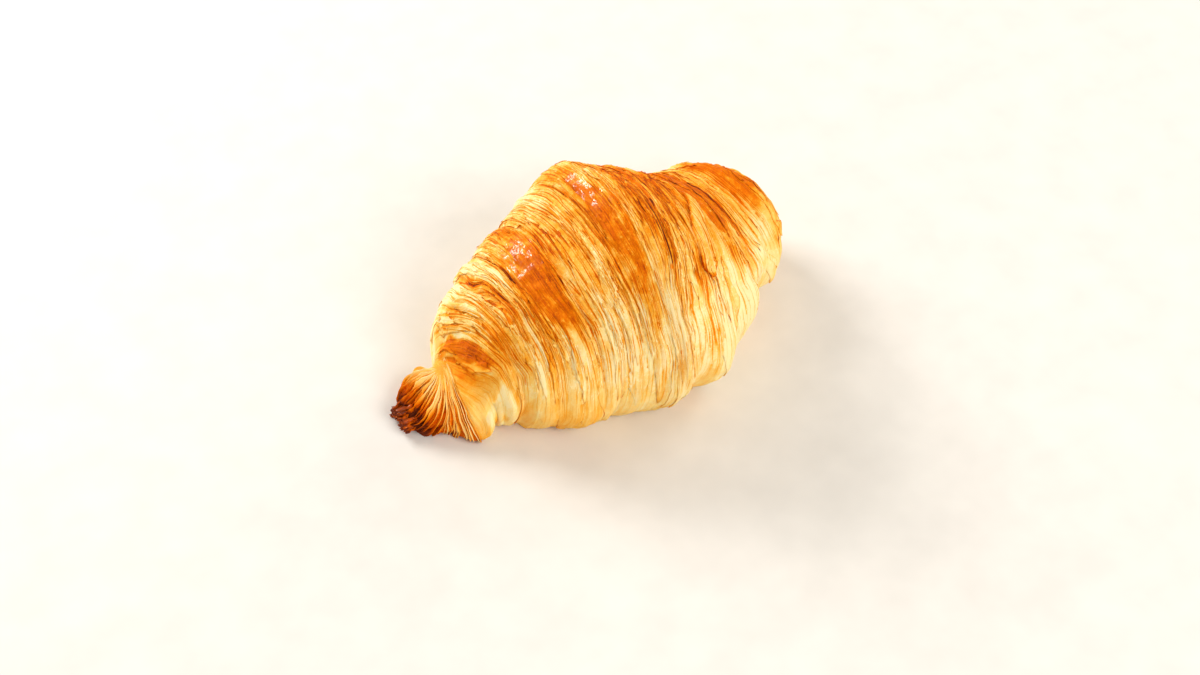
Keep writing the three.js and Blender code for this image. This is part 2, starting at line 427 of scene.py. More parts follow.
def pocket_folds(x, turn):
    """Soft ridges in the smooth fold, -1 to 1."""
    broad = noise(x / 3.1 + turn / 55, turn / 30 - x / 14, 63)
    return broad + 0.5 * noise(x / 1.4 + turn / 40, turn / 16, 64)


def strand_at(x, turn):
    """Strand that lies at a place along the line, the other way round from strand_line."""
    s = x
    for _ in range(6):
        s = s + x - strand_line(s, turn)
    return s


def arc_turn(s, turn):
    """Turn from the top, scaled to the arc's length there."""
    return (turn - 90) * np.interp(s, ARC_PLACES, ARC_SHARES)


def soft_folds(s, turn):
    """Broad soft folds that run down the sides like a curtain, -1 to 1."""
    arc = arc_turn(s, turn)
    broad = noise(s / 5.4 + 0.5 * noise(arc / 20, s / 20, 62), arc / 48, 36)
    return 0.7 * broad + 0.4 * noise(s / 2.6, arc / 30, 39)


def band_share(s, turn):
    """1 on the smooth glossy bands, 0 on the flaky cut edges."""
    s, turn = np.broadcast_arrays(s, turn)
    ragged = 0.9 * noise(s / 3, turn / 9, 51)
    share = np.zeros(s.shape)
    for middle, half in BANDS:
        share = np.maximum(share, 1 - smooth(half * 0.8, half * 1.15, np.abs(s - middle) + ragged))
    return share


def brown_field(s, turn, x):
    """How browned the crust is, 0 pale to 1 dark, with streaky ends along the strands, and with painted shade
    and highlight on its layers, folds and low front.
    """
    index, _, _ = FINE.at(s)
    thick, thick_across, _ = COARSE.at(s)
    ragged = 13 * FINE.own(index, turn, 90, 1) + 8 * COARSE.own(thick, turn, 90, 1)
    warp_s = 1.7 * noise(s / 4, turn / 11, 52) + 0.8 * noise(s / 1.7, turn / 5, 53)
    warp_t = 9 * noise(s / 4, turn / 12, 54)
    height = np.sin(np.radians(np.clip(turn, -60, 240)))
    brown = 0.12 + 0.24 * smooth(0.36, 0.97, height + 0.15 * FINE.own(index, turn, 60, 2))
    brown = brown + 0.04 * smooth(-20, 20, s) * smooth(0.4, 0.9, height)
    for middle, half, low, high, depth in BROWNING_AND_PAINTED_LIGHT_PATCHES:
        across = 1 - smooth(half * 0.75, half * 1.1, np.abs(s + warp_s * min(1, half / 4) - middle))
        around = smooth(low - 7, low + 7, turn + ragged + warp_t)
        around = around * (1 - smooth(high - 7, high + 7, turn + ragged + warp_t))
        brown = brown + depth * across * around
    arc = arc_turn(s, turn)
    pocket = pocket_share(x, turn)
    calm = (0.3 + 0.7 * smooth(0.3, 0.8, height)) * (1 - 0.8 * pocket) * (1 - 0.5 * smooth(16, 30, s))
    # across is that of the last patch here: the band at the right end is toned as a whole
    facing = np.tanh((s + 5) / 5)
    own = 0.06 * FINE.own(index, turn, 26, 3) + 0.11 * COARSE.own(thick, turn, 40, 4)
    # Each layer is darker towards its side that lies under the next layer: painted shade
    own = own + (0.13 * (thick_across - 0.5) + 0.05 * (across - 0.5)) * facing
    blotch = noise(s / 3, arc / 5.5, 21) + 0.8 * noise(s / 1.3, arc / 2.6, 22)
    brown = brown + own * calm + 0.09 * blotch * smooth(0.25, 0.6, brown)
    pale = 1 - smooth(0.4, 0.55, brown)
    brown = brown + 0.1 * noise(s / 6.5, arc / 13, 27) + 0.07 * noise(s / 2.8, arc / 7, 28) * pale
    # Paler on the crests of the soft folds and of the pocket's folds, darker in their hollows: painted
    # highlight and painted shade
    brown = brown - 0.09 * soft_folds(s, turn) * (1 - smooth(0.5, 0.9, height))
    brown = brown + pocket * (0.1 - 0.3 * smooth(0.0, 0.7, pocket_folds(x, turn)))
    fan = fan_share(x, turn)
    angle, distance = fan_polar(x, turn)
    leaf = 0.34 + 0.16 * noise(angle / 4, distance / 16, 23) * smooth(2, 8, distance)
    leaf = leaf + 0.3 * smooth(4, 13, distance)
    # The tip is darker; low at the front the fan is darker too, partly dark leaf ends and partly painted
    # shade
    leaf = leaf + 0.5 * smooth(-68, -76, x) + 0.35 * smooth(-10, -45, turn) * smooth(-61, -66, x)
    brown = np.minimum(brown, 0.74)
    return np.clip(brown * (1 - fan) + fan * leaf, 0, 1)


def relief_field(s, turn, x):
    """Height of the crags and layers over the smooth body, and how deep the gaps between them are; that depth
    darkens the colour there, partly browned edges and partly painted shade.
    """
    band = band_share(s, turn)
    fan = fan_share(x, turn)
    height = np.sin(np.radians(turn))
    arc = arc_turn(s, turn)
    pocket = pocket_share(x, turn)
    crisp = (0.14 + 0.86 * smooth(0.4, 1.0, height)) * (1 - 0.85 * pocket)
    loose = (1 - 0.86 * band) * (1 - fan) * crisp * (1 - 0.45 * smooth(16, 30, s))
    facing = np.tanh((s + 5) / 5)
    thick, thick_across, thick_width = COARSE.at(s)
    index, across, width = FINE.at(s)
    coarse = 0.34 * COARSE.own(thick, turn, 46, 5)
    coarse = coarse + (0.5 - thick_across) * facing * (0.35 + 0.35 * COARSE.own(thick, turn, 70, 6))
    fine = 0.13 * FINE.own(index, turn, 34, 7) + 0.2 * (0.5 - across) * facing
    fine = fine + 0.06 * (1 - (2 * across - 1) ** 2)
    to_thick_edge = np.minimum(thick_across, 1 - thick_across) * thick_width
    to_edge = np.minimum(across, 1 - across) * width
    open_thick = smooth(-0.2, 0.5, COARSE.own(thick, turn, 50, 8))
    open_fine = smooth(0.05, 0.7, FINE.own(index, turn, 40, 9))
    thick_gap = (1 - smooth(0.0, 0.46, to_thick_edge)) * open_thick
    fine_gap = (1 - smooth(0.0, 0.28, to_edge)) * open_fine
    # gap darkens the colour in the gaps between layers: browned edges and painted shade
    gap = loose * np.maximum(thick_gap, 0.8 * fine_gap)
    sunk = loose * (0.3 * thick_gap + 0.14 * fine_gap)
    for at, low, high, depth in CREASES:
        shut = smooth(low - 12, low + 12, turn) * (1 - smooth(high - 12, high + 12, turn))
        bent = s - at - 0.5 * noise(turn / 30, at, 61)
        line = (1 - smooth(0.12, 0.55, np.abs(bent))) * shut * (1 - fan)
        gap = np.maximum(gap, line * min(depth + 0.2, 1))
        sunk = sunk + 0.6 * depth * line
    lumps = 0.45 * noise(x / 9, arc / 11, 31) + 0.2 * noise(x / 3.4, arc / 4.5, 32)
    folds = 0.75 * soft_folds(s, turn) * (1 - smooth(0.5, 0.92, height)) * (1 - fan) * (1 - pocket)
    folds = folds + 0.75 * pocket * pocket_folds(x, turn) * (1 - fan)
    pucker = (0.15 * noise(s / 1.1, arc / 5, 34) + 0.12 * noise(s / 2.6, arc / 2.6, 35)) * band
    blister = 0.3 * smooth(0.3, 0.8, noise(s / 1.6, arc / 2.4, 33)) * band * smooth(0.3, 0.8, height)
    angle, distance = fan_polar(x, turn)
    fold = np.abs(noise(angle / 9 + 0.3 * noise(distance / 5, angle / 30, 43), distance / 15, 41))
    thin = np.abs(noise(angle / 3.2, distance / 10, 42))
    fan_relief = (1.5 * (0.4 - fold) + 0.5 * (0.4 - thin)) * smooth(2, 9, distance)
    # The gaps between the fan's folds are darkened in colour: painted shade
    fan_gap_shade = (smooth(0.5, 0.95, fold) + 0.5 * smooth(0.6, 0.95, thin)) * smooth(2, 7, distance)
    crumple = 0.16 * noise(s / 2.0, arc / 2.8, 37) + 0.12 * noise(s / 1.0, arc / 2.4, 38)
    lumps = lumps + crumple * (0.3 + 0.7 * crisp) * (1 - fan)
    relief = lumps + folds + pucker + blister + loose * (coarse + fine) + 0.3 * band - sunk + fan * fan_relief
    return relief, np.clip(gap + fan * fan_gap_shade, 0, 1)


def skin(s, turn, lift=0.0):
    """Points of the finished crust, raised by lift, and their places along the line."""
    s, turn = np.broadcast_arrays(np.asarray(s, float), np.asarray(turn, float))
    x = strand_line(s, turn)
    points = body_point(x, turn)
    ahead = body_point(strand_line(s + 0.4, turn), turn)
    round_it = body_point(strand_line(s, turn + 1.0), turn + 1.0)
    normal = unit(np.cross(ahead - points, round_it - points))
    relief, _ = relief_field(s, turn, x)
    return points + normal * (relief + lift)[..., None], x


def mesh_object(name, vertices, faces, material):
    """A mesh piece from points in millimetres."""
    mesh = bpy.data.meshes.new(name)
    vertices = np.asarray(vertices, np.float32) * MILLIMETRE
    sizes = [len(face) for face in faces]
    mesh.vertices.add(len(vertices))
    mesh.vertices.foreach_set("co", vertices.ravel())
    mesh.loops.add(sum(sizes))
    corners = np.concatenate([np.ravel(face) for face in faces])
    mesh.loops.foreach_set("vertex_index", corners.astype(np.int32))
    mesh.polygons.add(len(faces))
    starts = np.concatenate([[0], np.cumsum(sizes)[:-1]])
    mesh.polygons.foreach_set("loop_start", starts.astype(np.int32))
    if material:
        mesh.materials.append(material)
    mesh.update(calc_edges=True)
    mesh.validate()
    made = bpy.data.objects.new(name, mesh)
    bpy.context.scene.collection.objects.link(made)
    return made


def set_numbers(mesh, name, values):
    """One number at each point of a mesh."""
    layer = mesh.attributes.new(name, "FLOAT", "POINT")
    layer.data.foreach_set("value", np.asarray(values, np.float32).ravel())


def set_vectors(mesh, name, values):
    """One vector at each point of a mesh."""
    layer = mesh.attributes.new(name, "FLOAT_VECTOR", "POINT")
    layer.data.foreach_set("vector", np.asarray(values, np.float32).ravel())


def set_dough(mesh, s, turn, salt):
    """Dough coordinates as a vector at each point, for the materials."""
    arc = arc_turn(s, turn)
    salt = np.broadcast_to(salt, s.shape)
    set_vectors(mesh, "dough", np.stack([s.ravel(), arc.ravel(), salt.ravel()], -1))


def crust_strands(low, high):
    """Strands where the crust's mesh has its rows: the edges of the fine layers and places between."""
    inside = FINE.edges[(FINE.edges > low) & (FINE.edges < high)]
    edges = np.concatenate([[low], inside, [high]])
    widths = np.diff(edges)
    rows = [edges[:-1] + share * widths for share in LAYER_ROWS]
    return np.append(np.sort(np.concatenate(rows)), high)


def with_base(side, base, poles):
    """Values for a crust's points in their order: side and base row by row, then the two poles."""
    return np.append(np.concatenate([side, base], 1).ravel(), poles)


def build_crust(name, low, high, material):
    """One length of the body as a closed skin, with its layers and crags as real relief."""
    s = crust_strands(low, high)
    if high == RIGHT_END:
        limit = RIGHT_END - END_ROUND
        bend = np.linspace(0, math.asin(END_ROUND / (END_ROUND + END_BLUNTNESS)), END_ROWS)[1:]
        s = np.concatenate([s[s < limit], limit + (END_ROUND + END_BLUNTNESS) * np.sin(bend)])
    s = s[:, None]
    lowest = base_turn(s)
    turn = -lowest + (180 + 2 * lowest) * np.linspace(0, 1, SIDE_POINTS)[None]
    s = np.broadcast_to(s, turn.shape)
    x = strand_line(s, turn)
    points = body_point(x, turn)
    relief, gap = relief_field(s, turn, x)
    fade = smooth(RIGHT_END, RIGHT_END - END_FADE, x)
    points = points + outward(points) * (relief * fade)[..., None]
    points[..., 2] = np.maximum(points[..., 2], 0)
    back, front = points[:, -1:], points[:, :1]
    step = np.arange(1, BASE_POINTS + 1)[None, :, None] / (BASE_POINTS + 1)
    rings = np.concatenate([points, back + (front - back) * step], axis=1)
    rows, columns = rings.shape[:2]
    vertices = np.concatenate([rings.reshape(-1, 3), [rings[0].mean(0), rings[-1].mean(0)]])
    if low == LEFT_END:
        vertices[-2, 0] += TIP_TUCK
    row, column = np.meshgrid(np.arange(rows - 1), np.arange(columns), indexing="ij")
    after = (column + 1) % columns
    here, ahead = row * columns, (row + 1) * columns
    tube = np.stack([here + column, ahead + column, ahead + after, here + after], -1)
    faces = [tuple(face) for face in tube.reshape(-1, 4)]
    last = (rows - 1) * columns
    for j in range(columns):
        k = (j + 1) % columns
        faces.append((j, k, rows * columns))
        faces.append((last + k, last + j, rows * columns + 1))
    crust = mesh_object(name, vertices, faces, material)
    rounded = np.zeros(len(faces), bool)
    rounded[:(rows - 1) * columns] = (column < SIDE_POINTS - 1).ravel()
    crust.data.polygons.foreach_set("use_smooth", rounded)
    fill = np.zeros((rows, BASE_POINTS))
    brown = brown_field(s, turn, x)
    on_floor = smooth(0.78, 0.95, end_share(x[:, :1]))
    lowest_brown = brown[:, :1]
    brown = np.concatenate([brown, lowest_brown + (BASE_BROWNING - lowest_brown) * on_floor + fill], 1)
    sheen = smooth(86, 94, turn) * (1 - smooth(112, 122, turn)) * (1 - smooth(10, 25, s))
    band = band_share(s, turn) * smooth(20, 60, turn) * (0.5 + 0.5 * sheen)
    round_it = np.gradient(rings, axis=1).reshape(-1, 3)
    set_vectors(crust.data, "strand", np.concatenate([round_it, np.ones((2, 3))]))
    flaking = smooth(0.35, 0.8, np.sin(np.radians(turn))) * smooth(-52, -42, s)
    flaking = flaking * (0.35 + 0.65 * noise(s / 7, turn / 16, 88))
    set_numbers(crust.data, "flaking", with_base(np.maximum(flaking, 0), fill, [0, 0]))
    set_numbers(crust.data, "browning", np.append(brown.ravel(), [TIP_BROWNING, brown[-1].mean()]))
    set_numbers(crust.data, "gap", with_base(gap, fill, [1, 0]))
    set_numbers(crust.data, "band", with_base(band, fill, [0, 0]))
    round_base = np.linspace(200, 320, BASE_POINTS)[None] + fill
    fan = fan_share(x, turn)
    angle, distance = fan_polar(x, turn)
    s = s + fan * (angle * 0.25 - s)
    turn = turn + fan * (distance * 4 - turn)
    s = with_base(s, s[:, :1] + fill, [low, high])
    set_dough(crust.data, s, with_base(turn, round_base, [0, 0]), 0.0)
    map_crust(crust.data, rows, columns)
    return crust


def map_crust(mesh, rows, columns):
    """A flat map of the skin: along the body across the map, and round the body up it."""
    layer = mesh.uv_layers.new(name="OFBake")
    corners = np.empty(len(mesh.loops), np.int32)
    mesh.loops.foreach_get("vertex_index", corners)
    tube = 4 * (rows - 1) * columns
    uv = np.zeros((len(corners), 2), np.float32)
    inner = corners[:tube].reshape(-1, 4)
    row, column = inner // columns, inner % columns
    wrapped = (column.max(1, keepdims=True) == columns - 1) & (column == 0)
    column = np.where(wrapped, columns, column)
    uv[:tube, 0] = (0.01 + 0.98 * row / (rows - 1)).ravel()
    uv[:tube, 1] = (0.01 + 0.98 * column / columns).ravel()
    uv[tube:] = 0.004
    layer.data.foreach_set("uv", uv.ravel())


class Sheets:
    """Gathers many thin closed sheets of dough into one mesh piece."""

    def __init__(self):
        self.points, self.faces, self.map_points, self.rounded = [], [], [], []
        self.s, self.turn, self.salt, self.brown, self.band, self.spots = [], [], [], [], [], []
        self.total = 0
        self.sheets = 0

    def add(self, middle, thickness, s, turn, brown, band=0.0, underside_shade=0.0):
        """A closed sheet from a grid of middle points and its thickness at each."""
        rows, columns = middle.shape[:2]
        half = outward(middle) * (np.broadcast_to(thickness, (rows, columns)) / 2)[..., None]
        both = np.concatenate([(middle + half).reshape(-1, 3), (middle - half).reshape(-1, 3)])
        both[:, 2] = np.maximum(both[:, 2], 0.02)
        count = rows * columns
        grid = np.arange(count).reshape(rows, columns)
        top = np.stack([grid[:-1, :-1], grid[1:, :-1], grid[1:, 1:], grid[:-1, 1:]], -1).reshape(-1, 4)
        under = top[:, ::-1] + count
        edge = np.concatenate([grid[0, :], grid[1:, -1], grid[-1, -2::-1], grid[-2:0:-1, 0]])
        after = np.roll(edge, -1)
        rim = np.stack([edge, after, after + count, edge + count], -1)
        self.points.append(both)
        self.faces.append(np.concatenate([top, under, rim]) + self.total)
        self.map_points.append(np.concatenate([top, under, rim % count]) + self.total)
        self.rounded.append(np.repeat([True, False], [2 * len(top), len(rim)]))
        cell = np.stack(np.meshgrid(np.linspace(0.04, 0.46, columns), np.linspace(0.04, 0.96, rows)), -1)
        cell = cell.reshape(-1, 2)
        self.spots.append(np.concatenate([cell, cell + [0.5, 0]]))
        for store, values in ((self.s, s), (self.turn, turn), (self.band, band)):
            store.append(np.tile(np.broadcast_to(values, (rows, columns)).ravel(), 2))
        shown = np.broadcast_to(brown, (rows, columns)).ravel()
        # The underside is browner by underside_shade: painted shade where the sheet lies on the crust
        self.brown.append(np.concatenate([shown, shown + underside_shade]))
        self.salt.append(np.full(2 * count, self.sheets % 97 + 1.0))
        self.total += 2 * count
        self.sheets += 1

    def build(self, name, material):
        """One mesh piece of all the sheets, each with its own square of the flat map."""
        faces = np.concatenate(self.faces)
        made = mesh_object(name, np.concatenate(self.points), [tuple(face) for face in faces], material)
        made.data.polygons.foreach_set("use_smooth", np.concatenate(self.rounded))
        set_numbers(made.data, "browning", np.clip(np.concatenate(self.brown), 0, 1))
        set_numbers(made.data, "gap", np.zeros(self.total))
        set_numbers(made.data, "band", np.concatenate(self.band))
        set_dough(made.data, np.concatenate(self.s), np.concatenate(self.turn), np.concatenate(self.salt))
        side = math.ceil(math.sqrt(self.sheets))
        spots = np.concatenate([(spot + [n % side, n // side]) / side for n, spot in enumerate(self.spots)])
        layer = made.data.uv_layers.new(name="OFBake")
        corners = spots[np.concatenate(self.map_points).ravel()]
        layer.data.foreach_set("uv", corners.astype(np.float32).ravel())
        return made


def build_strips(material):
    """Loose ends of thin layers that lie along the strands, with lifted edges and torn tips."""
    random = np.random.default_rng(5)
    sheets = Sheets()
    u = np.linspace(0, 1, 15)[:, None]
    v = np.linspace(-1, 1, 5)[None]
    for _ in range(STRIPS):
        s0, t0 = random.uniform(-57, 60), random.uniform(-12, 192)
        length = random.uniform(14, 70)
        width = random.uniform(0.6, 2.4)
        skew = random.normal(0, 1.2) * (0.25 if s0 < -46 else 1.0)
        wave = random.uniform(0, 6.3)
        band = float(band_share(np.array([s0]), np.array([t0]))[0])
        low = 1 - smooth(0.1, 0.6, math.sin(math.radians(t0)))
        if random.uniform() < max(band * 0.75, low * 0.92, 0.5 if s0 < -46 or s0 > 22 else 0):
            continue
        taper = (1 - np.abs(2 * u - 1) ** 2.2) ** 0.8
        torn = 1 + 0.45 * noise(u * 9, s0 + 3 * np.sign(v), 71)
        torn = torn + 0.25 * noise(u * 23, t0 + 3 * np.sign(v), 72)
        s = s0 + skew * (u - 0.5) + 0.3 * np.sin(5 * u + wave) + v * width / 2 * taper * torn
        turn = t0 + length * (u - 0.5) + 1.5 * v * (1 - taper) * random.uniform(-1, 1)
        raised = random.uniform(0.04, 0.3)
        side = random.choice((-1, 1))
        lift = 0.12 + raised * smooth(0.0, 1.0, side * v) * (0.4 + 0.6 * taper)
        lift = lift + random.uniform(0.0, 0.4) * smooth(0.82, 1.0, np.abs(2 * u - 1))
        middle, x = skin(s, turn, lift)
        # Browner at the edges: browned thin edges, and painted shade where they meet the crust
        brown = brown_field(s, turn, x) + random.normal(-0.03, 0.05) + 0.12 * smooth(0.5, 1, np.abs(v))
        brown = brown + 0.04 * smooth(0.8, 1, np.abs(2 * u - 1))
        sheets.add(middle[::-1], STRIP_THICKNESS, s[::-1], turn[::-1], brown[::-1],
                   underside_shade=UNDERSIDE_SHADE)
    return sheets.build("loose_layers", material)


def build_petals(material):
    """Broad pale layers that hang down to the base in lobes, front and back."""
    random = np.random.default_rng(6)
    sheets = Sheets()
    u = np.linspace(0, 1, 22)[:, None]
    v = np.linspace(-1, 1, 15)[None]
    for facing in (1, -1):
        s0 = -52.0
        while s0 < 48:
            width = random.uniform(5, 11)
            lowest = random.uniform(-44, -14)
            curl = 0.2 if random.uniform() < 0.3 else -0.22
            highest = random.uniform(30, 66)
            s0 += width * random.uniform(0.7, 1.2)
            taper = (0.45 + 0.55 * smooth(0.0, 0.22, u)) * (1 - smooth(0.15, 1.0, u)) ** 0.8
            ragged = 1 + 0.16 * noise(u * 6, s0, 73) + 0.1 * noise(u * 15, s0 + 3 * np.sign(v), 75)
            s = s0 + v * width / 2 * taper * ragged + random.normal(0, 0.8) * u
            low_edge = lowest + 5 * v ** 2 * 3 + 3 * noise(v * 3, s0, 74) * (1 - u)
            turn = low_edge + (highest - low_edge) * u
            turn = turn if facing > 0 else 180 - turn
            lift = 0.05 + curl * (1 - u) ** 6 - 0.18 * smooth(0.6, 1.0, np.abs(v)) * random.uniform(0.4, 1)
            lift = lift - 0.2 * smooth(0.7, 1.0, u)
            middle, x = skin(s, turn, lift)
            thick = 0.06 + 0.22 * (1 - u) * (1 - v ** 4)
            if facing < 0:
                middle, s, turn, x = middle[:, ::-1], s[:, ::-1], turn[:, ::-1], x[:, ::-1]
            # Browner at the side edges, where they dip into the crust: browned thin edges and painted shade
            # in the crease
            brown = brown_field(s, turn, x) + random.normal(-0.03, 0.05) + 0.14 * smooth(0.72, 1.0, np.abs(v))
            brown = brown + (0.08 + 0.3 * curl) * (1 - smooth(0.0, 0.12, u))
            sheets.add(middle[::-1], thick[::-1], s[::-1], turn[::-1], brown[::-1],
                       underside_shade=UNDERSIDE_SHADE)
    return sheets.build("hanging_layers", material)


def build_fan(material):
    """Leaves of the opened end: they stand on the fan along its folds and fray at their ends."""
    random = np.random.default_rng(7)
    sheets = Sheets()
    u = np.linspace(0, 1, 34)[:, None]
    for angle in np.arange(-84, 80, LEAF_SPACING):
        a = math.radians(angle + random.uniform(-1.4, 1.4))
        reach_tip = random.uniform(12.6, 15.6) / max(math.cos(a), 0.05)
        to_base = HINGE_TURN + 66 if a > 0 else 250 - HINGE_TURN
        reach_base = to_base * FAN_DEGREE / max(abs(math.sin(a)), 0.05)
        far = min(reach_tip, reach_base)
        bend = random.uniform(-5, 5)
        distance = 1.0 + (far - 1.0) * u
        x = HINGE_LINE - distance * math.cos(a)
        turn = HINGE_TURN - distance * math.sin(a) / FAN_DEGREE + bend * np.sin(3.2 * u) * u
        brown = 0.16 + random.uniform(-0.08, 0.16) + 0.3 * smooth(0.25, 0.8, u)
        # Darker at the tip and the frayed ends, and low on the fan, partly dark ends and partly painted shade
        brown = brown + 0.42 * smooth(-68, -76, x) + 0.4 * smooth(0.84, 1, u) + 0.1 * smooth(40, 0, turn)
        tallest = random.uniform(0.5, 1.3) if random.uniform() < 0.55 else random.uniform(1.5, 2.8)
        add_leaf(sheets, random, x, turn, tallest, brown, angle)
    for number in range(WAIST_STRANDS):
        aside = (number + random.uniform(0.2, 0.8)) / WAIST_STRANDS
        turn = WAIST_TURNS[0] + random.uniform(-6, 6) + (WAIST_TURNS[-1] - WAIST_TURNS[0]) * u
        right = np.interp(turn, WAIST_TURNS[::-1], WAIST_RIGHT[::-1])
        left = np.interp(turn, WAIST_TURNS[::-1], WAIST_LEFT[::-1])
        x = right + (left - right) * aside + 0.3 * noise(u * 4, number * 2.3, 101)
        brown = 0.24 + random.uniform(-0.12, 0.2) + (0.3 + 0.35 * aside) * smooth(0.78, 0.96, u)
        add_leaf(sheets, random, x, turn, random.uniform(0.5, 1.0), brown, 100 + 3 * number)
    add_rolls(sheets, random)
    return sheets.build("fan_leaves", material)


def add_leaf(sheets, random, x, turn, tallest, brown, salt):
    """One thin leaf that stands along a path on the fan, low at the start and frayed at the end."""
    u = np.linspace(0, 1, len(x))[:, None]
    v = np.linspace(0, 1, 5)[None]
    x, turn = x + 0 * v, turn + 0 * v
    shown, normal = body_skin(x, turn)
    relief, _ = relief_field(strand_at(x, turn), turn, x)
    shown = shown + normal * relief[..., None]
    tall = (0.3 + tallest * smooth(0.0, 0.55, u)) * (1 + 0.3 * noise(u * 7, salt, 81))
    tall = tall * (1 - 0.75 * smooth(0.9, 1.0, u + 0.05 * noise(u * 30, salt, 82)))
    aside = np.cross(unit(np.gradient(shown[:, 0], axis=0)), normal[:, 0])
    lean = random.uniform(-0.5, 0.5)
    wave = 0.35 * noise(u * 5 + v, salt, 83) + 0.25 * noise(u * 13, salt + v * 2, 84)
    curl = random.uniform(-1, 1) * 0.5 * tallest * smooth(0.75, 1.0, u) * v
    sideways = lean * v * tall + wave * v * (0.4 + tall * 0.4) + curl
    middle = shown + normal * (tall * v - 0.4)[..., None] + aside[:, None] * sideways[..., None]
    # Darker at the leaf's foot, where it meets the fan, and paler at its top edge: painted shade and painted
    # highlight
    tone = brown + 0.22 * (1 - v) ** 2 - 0.05 * v
    sheets.add(middle, 0.3 - 0.18 * v, salt + v * 1.5, np.linspace(0, 60, len(x))[:, None], tone)


def add_rolls(sheets, random):
    """Thick ends of dough that roll up, dark, at the fan's open tip."""
    u = np.linspace(0, 1, 16)[:, None]
    v = np.linspace(0, 1, 18)[None]
    small = [(-36 + 250 * (n + random.uniform(0.2, 0.8)) / SMALL_ROLLS, random.uniform(0.4, 0.95),
              random.uniform(2.4, 4.4), random.uniform(0.6, 1.1)) for n in range(SMALL_ROLLS)]
    for number, (turn0, inner, length, thickest) in enumerate(list(ROLLS) + small):
        place = -80.2 + length
        edge, normal = body_skin(np.array([[place]]), np.array([[turn0]]))
        core = body_point(np.array(place), np.array(90.0)) * [1, 1, 0.5]
        start = core + (edge[0, 0] - core) * inner
        outwards = normal[0, 0] * random.uniform(0.0, 0.2) + np.array([0, random.uniform(-0.2, 0.2), 0.0])
        ahead = np.array([-1.0, 0, 0]) + outwards
        ahead /= np.linalg.norm(ahead)
        side = np.cross(ahead, [0, 0, 1.0])
        side /= np.linalg.norm(side)
        up = np.cross(side, ahead)
        radius = thickest * (1 + 0.4 * noise(u * 5, number * 3.3, 85)) * (0.5 + 0.5 * smooth(0, 0.3, u))
        angle = random.uniform(0, 6.3) + random.choice((-1, 1)) * v * random.uniform(3.6, 5.4)
        spiral = radius * (0.35 + 0.65 * v) * (1 + 0.25 * noise(v * 6, u * 4 + number * 2.1, 86))
        bend = random.uniform(-1.2, 1.2) * u ** 2
        middle = start + ahead * (length * u + 1.1 * noise(v * 5, number * 1.7, 87) * u)[..., None]
        middle = middle + side * (spiral * np.cos(angle) + bend)[..., None]
        middle = middle + up * (spiral * np.sin(angle))[..., None]
        middle[..., 0] = np.maximum(middle[..., 0], -76.8 - 0.5 * noise(v * 6, number, 89))
        middle[..., 2] = np.maximum(middle[..., 2], 0.2)
        brown = 0.86 + 0.14 * u + random.uniform(-0.08, 0.08) + 0.1 * noise(u * 4, v * 3 + number, 88)
        sheets.add(middle, 0.5 - 0.32 * u, place + 4 * v, 8 * u, brown, band=0.75)


def build_tongue(material):
    """Tongue of dough over the top and down the front, with a blistered rounded end."""
    sheets = Sheets()
    u = np.linspace(0, 1, 60)[:, None]
    v = np.linspace(-1, 1, 21)[None]
    turn = TONGUE_TURNS[0] + (TONGUE_TURNS[-1] - TONGUE_TURNS[0]) * u + 0 * v
    strand = np.interp(turn, TONGUE_TURNS[::-1], TONGUE_STRANDS[::-1])
    half = TONGUE_HALF_WIDTH * (0.3 + 0.7 * smooth(0, 0.6, u)) * (1 - smooth(0.86, 1.0, u) ** 2 * 0.8)
    s = strand + v * half * (1 + 0.1 * noise(u * 8, v, 91))
    x = strand_line(s, turn)
    points, normal = body_skin(x, turn)
    end = smooth(0.8, 0.9, u)
    rim = smooth(0.55, 0.95, np.maximum(np.abs(v), (u - 0.9) * 10))
    blister = 0.6 * smooth(0.0, 0.7, noise(x / 0.8, turn / 2.0, 92)) * end
    lift = 0.5 + 0.3 * (1 - v ** 2) + blister + 0.25 * noise(s / 0.9, turn / 30, 93)
    lift = lift * smooth(0, 0.4, u)
    brown = 0.44 - 0.2 * smooth(0.25, 0.55, u) + 0.14 * noise(s / 0.8, turn / 25, 94)
    # Darker along its two borders: browned edges and painted shade along the step onto the crust
    edge = smooth(0.72, 0.98, np.abs(v)) * smooth(0.1, 0.3, u) * (0.7 + 0.6 * noise(turn / 6, np.sign(v), 99))
    brown = brown + end * (0.3 * rim + 0.12 * noise(x / 0.8, turn / 2.4, 95)) + 0.3 * edge * (1 - end)
    sheets.add((points + normal * lift[..., None])[::-1], TONGUE_THICKNESS, s[::-1], turn[::-1], brown[::-1])
    return sheets.build("tongue", material)


def flake_shapes():
    """A collection of small torn flakes, about 2 mm across, that curl up at their edges."""
    shapes = bpy.data.collections.new("flake_shapes")
    steps = np.linspace(-1, 1, 6)
    u, v = steps[:, None], steps[None]
    across, along = v * np.sqrt(1 - u * u / 2), u * np.sqrt(1 - v * v / 2)
    angle, radius = np.arctan2(across, along), np.hypot(across, along)
    for number in range(FLAKE_SHAPES):
        torn = 1 + 0.42 * noise(angle * 1.3, number * 5.3, 96) + 0.3 * noise(angle * 3.1, number * 3.1, 97)
        height = 0.05 + 0.12 * radius ** 2 * (1 + noise(angle, number * 2.7, 98))
        sheets = Sheets()
        sheets.add(np.stack([along * torn, across * torn, height], -1), FLAKE_THICKNESS, 0.0, 0.0, 0.0)
        flake = sheets.build("flake_" + str(number), None)
        for name in [layer.name for layer in flake.data.attributes if layer.name in FLAKE_DROPPED]:
            flake.data.attributes.remove(flake.data.attributes[name])
        bpy.context.scene.collection.objects.unlink(flake)
        shapes.objects.link(flake)
    return shapes


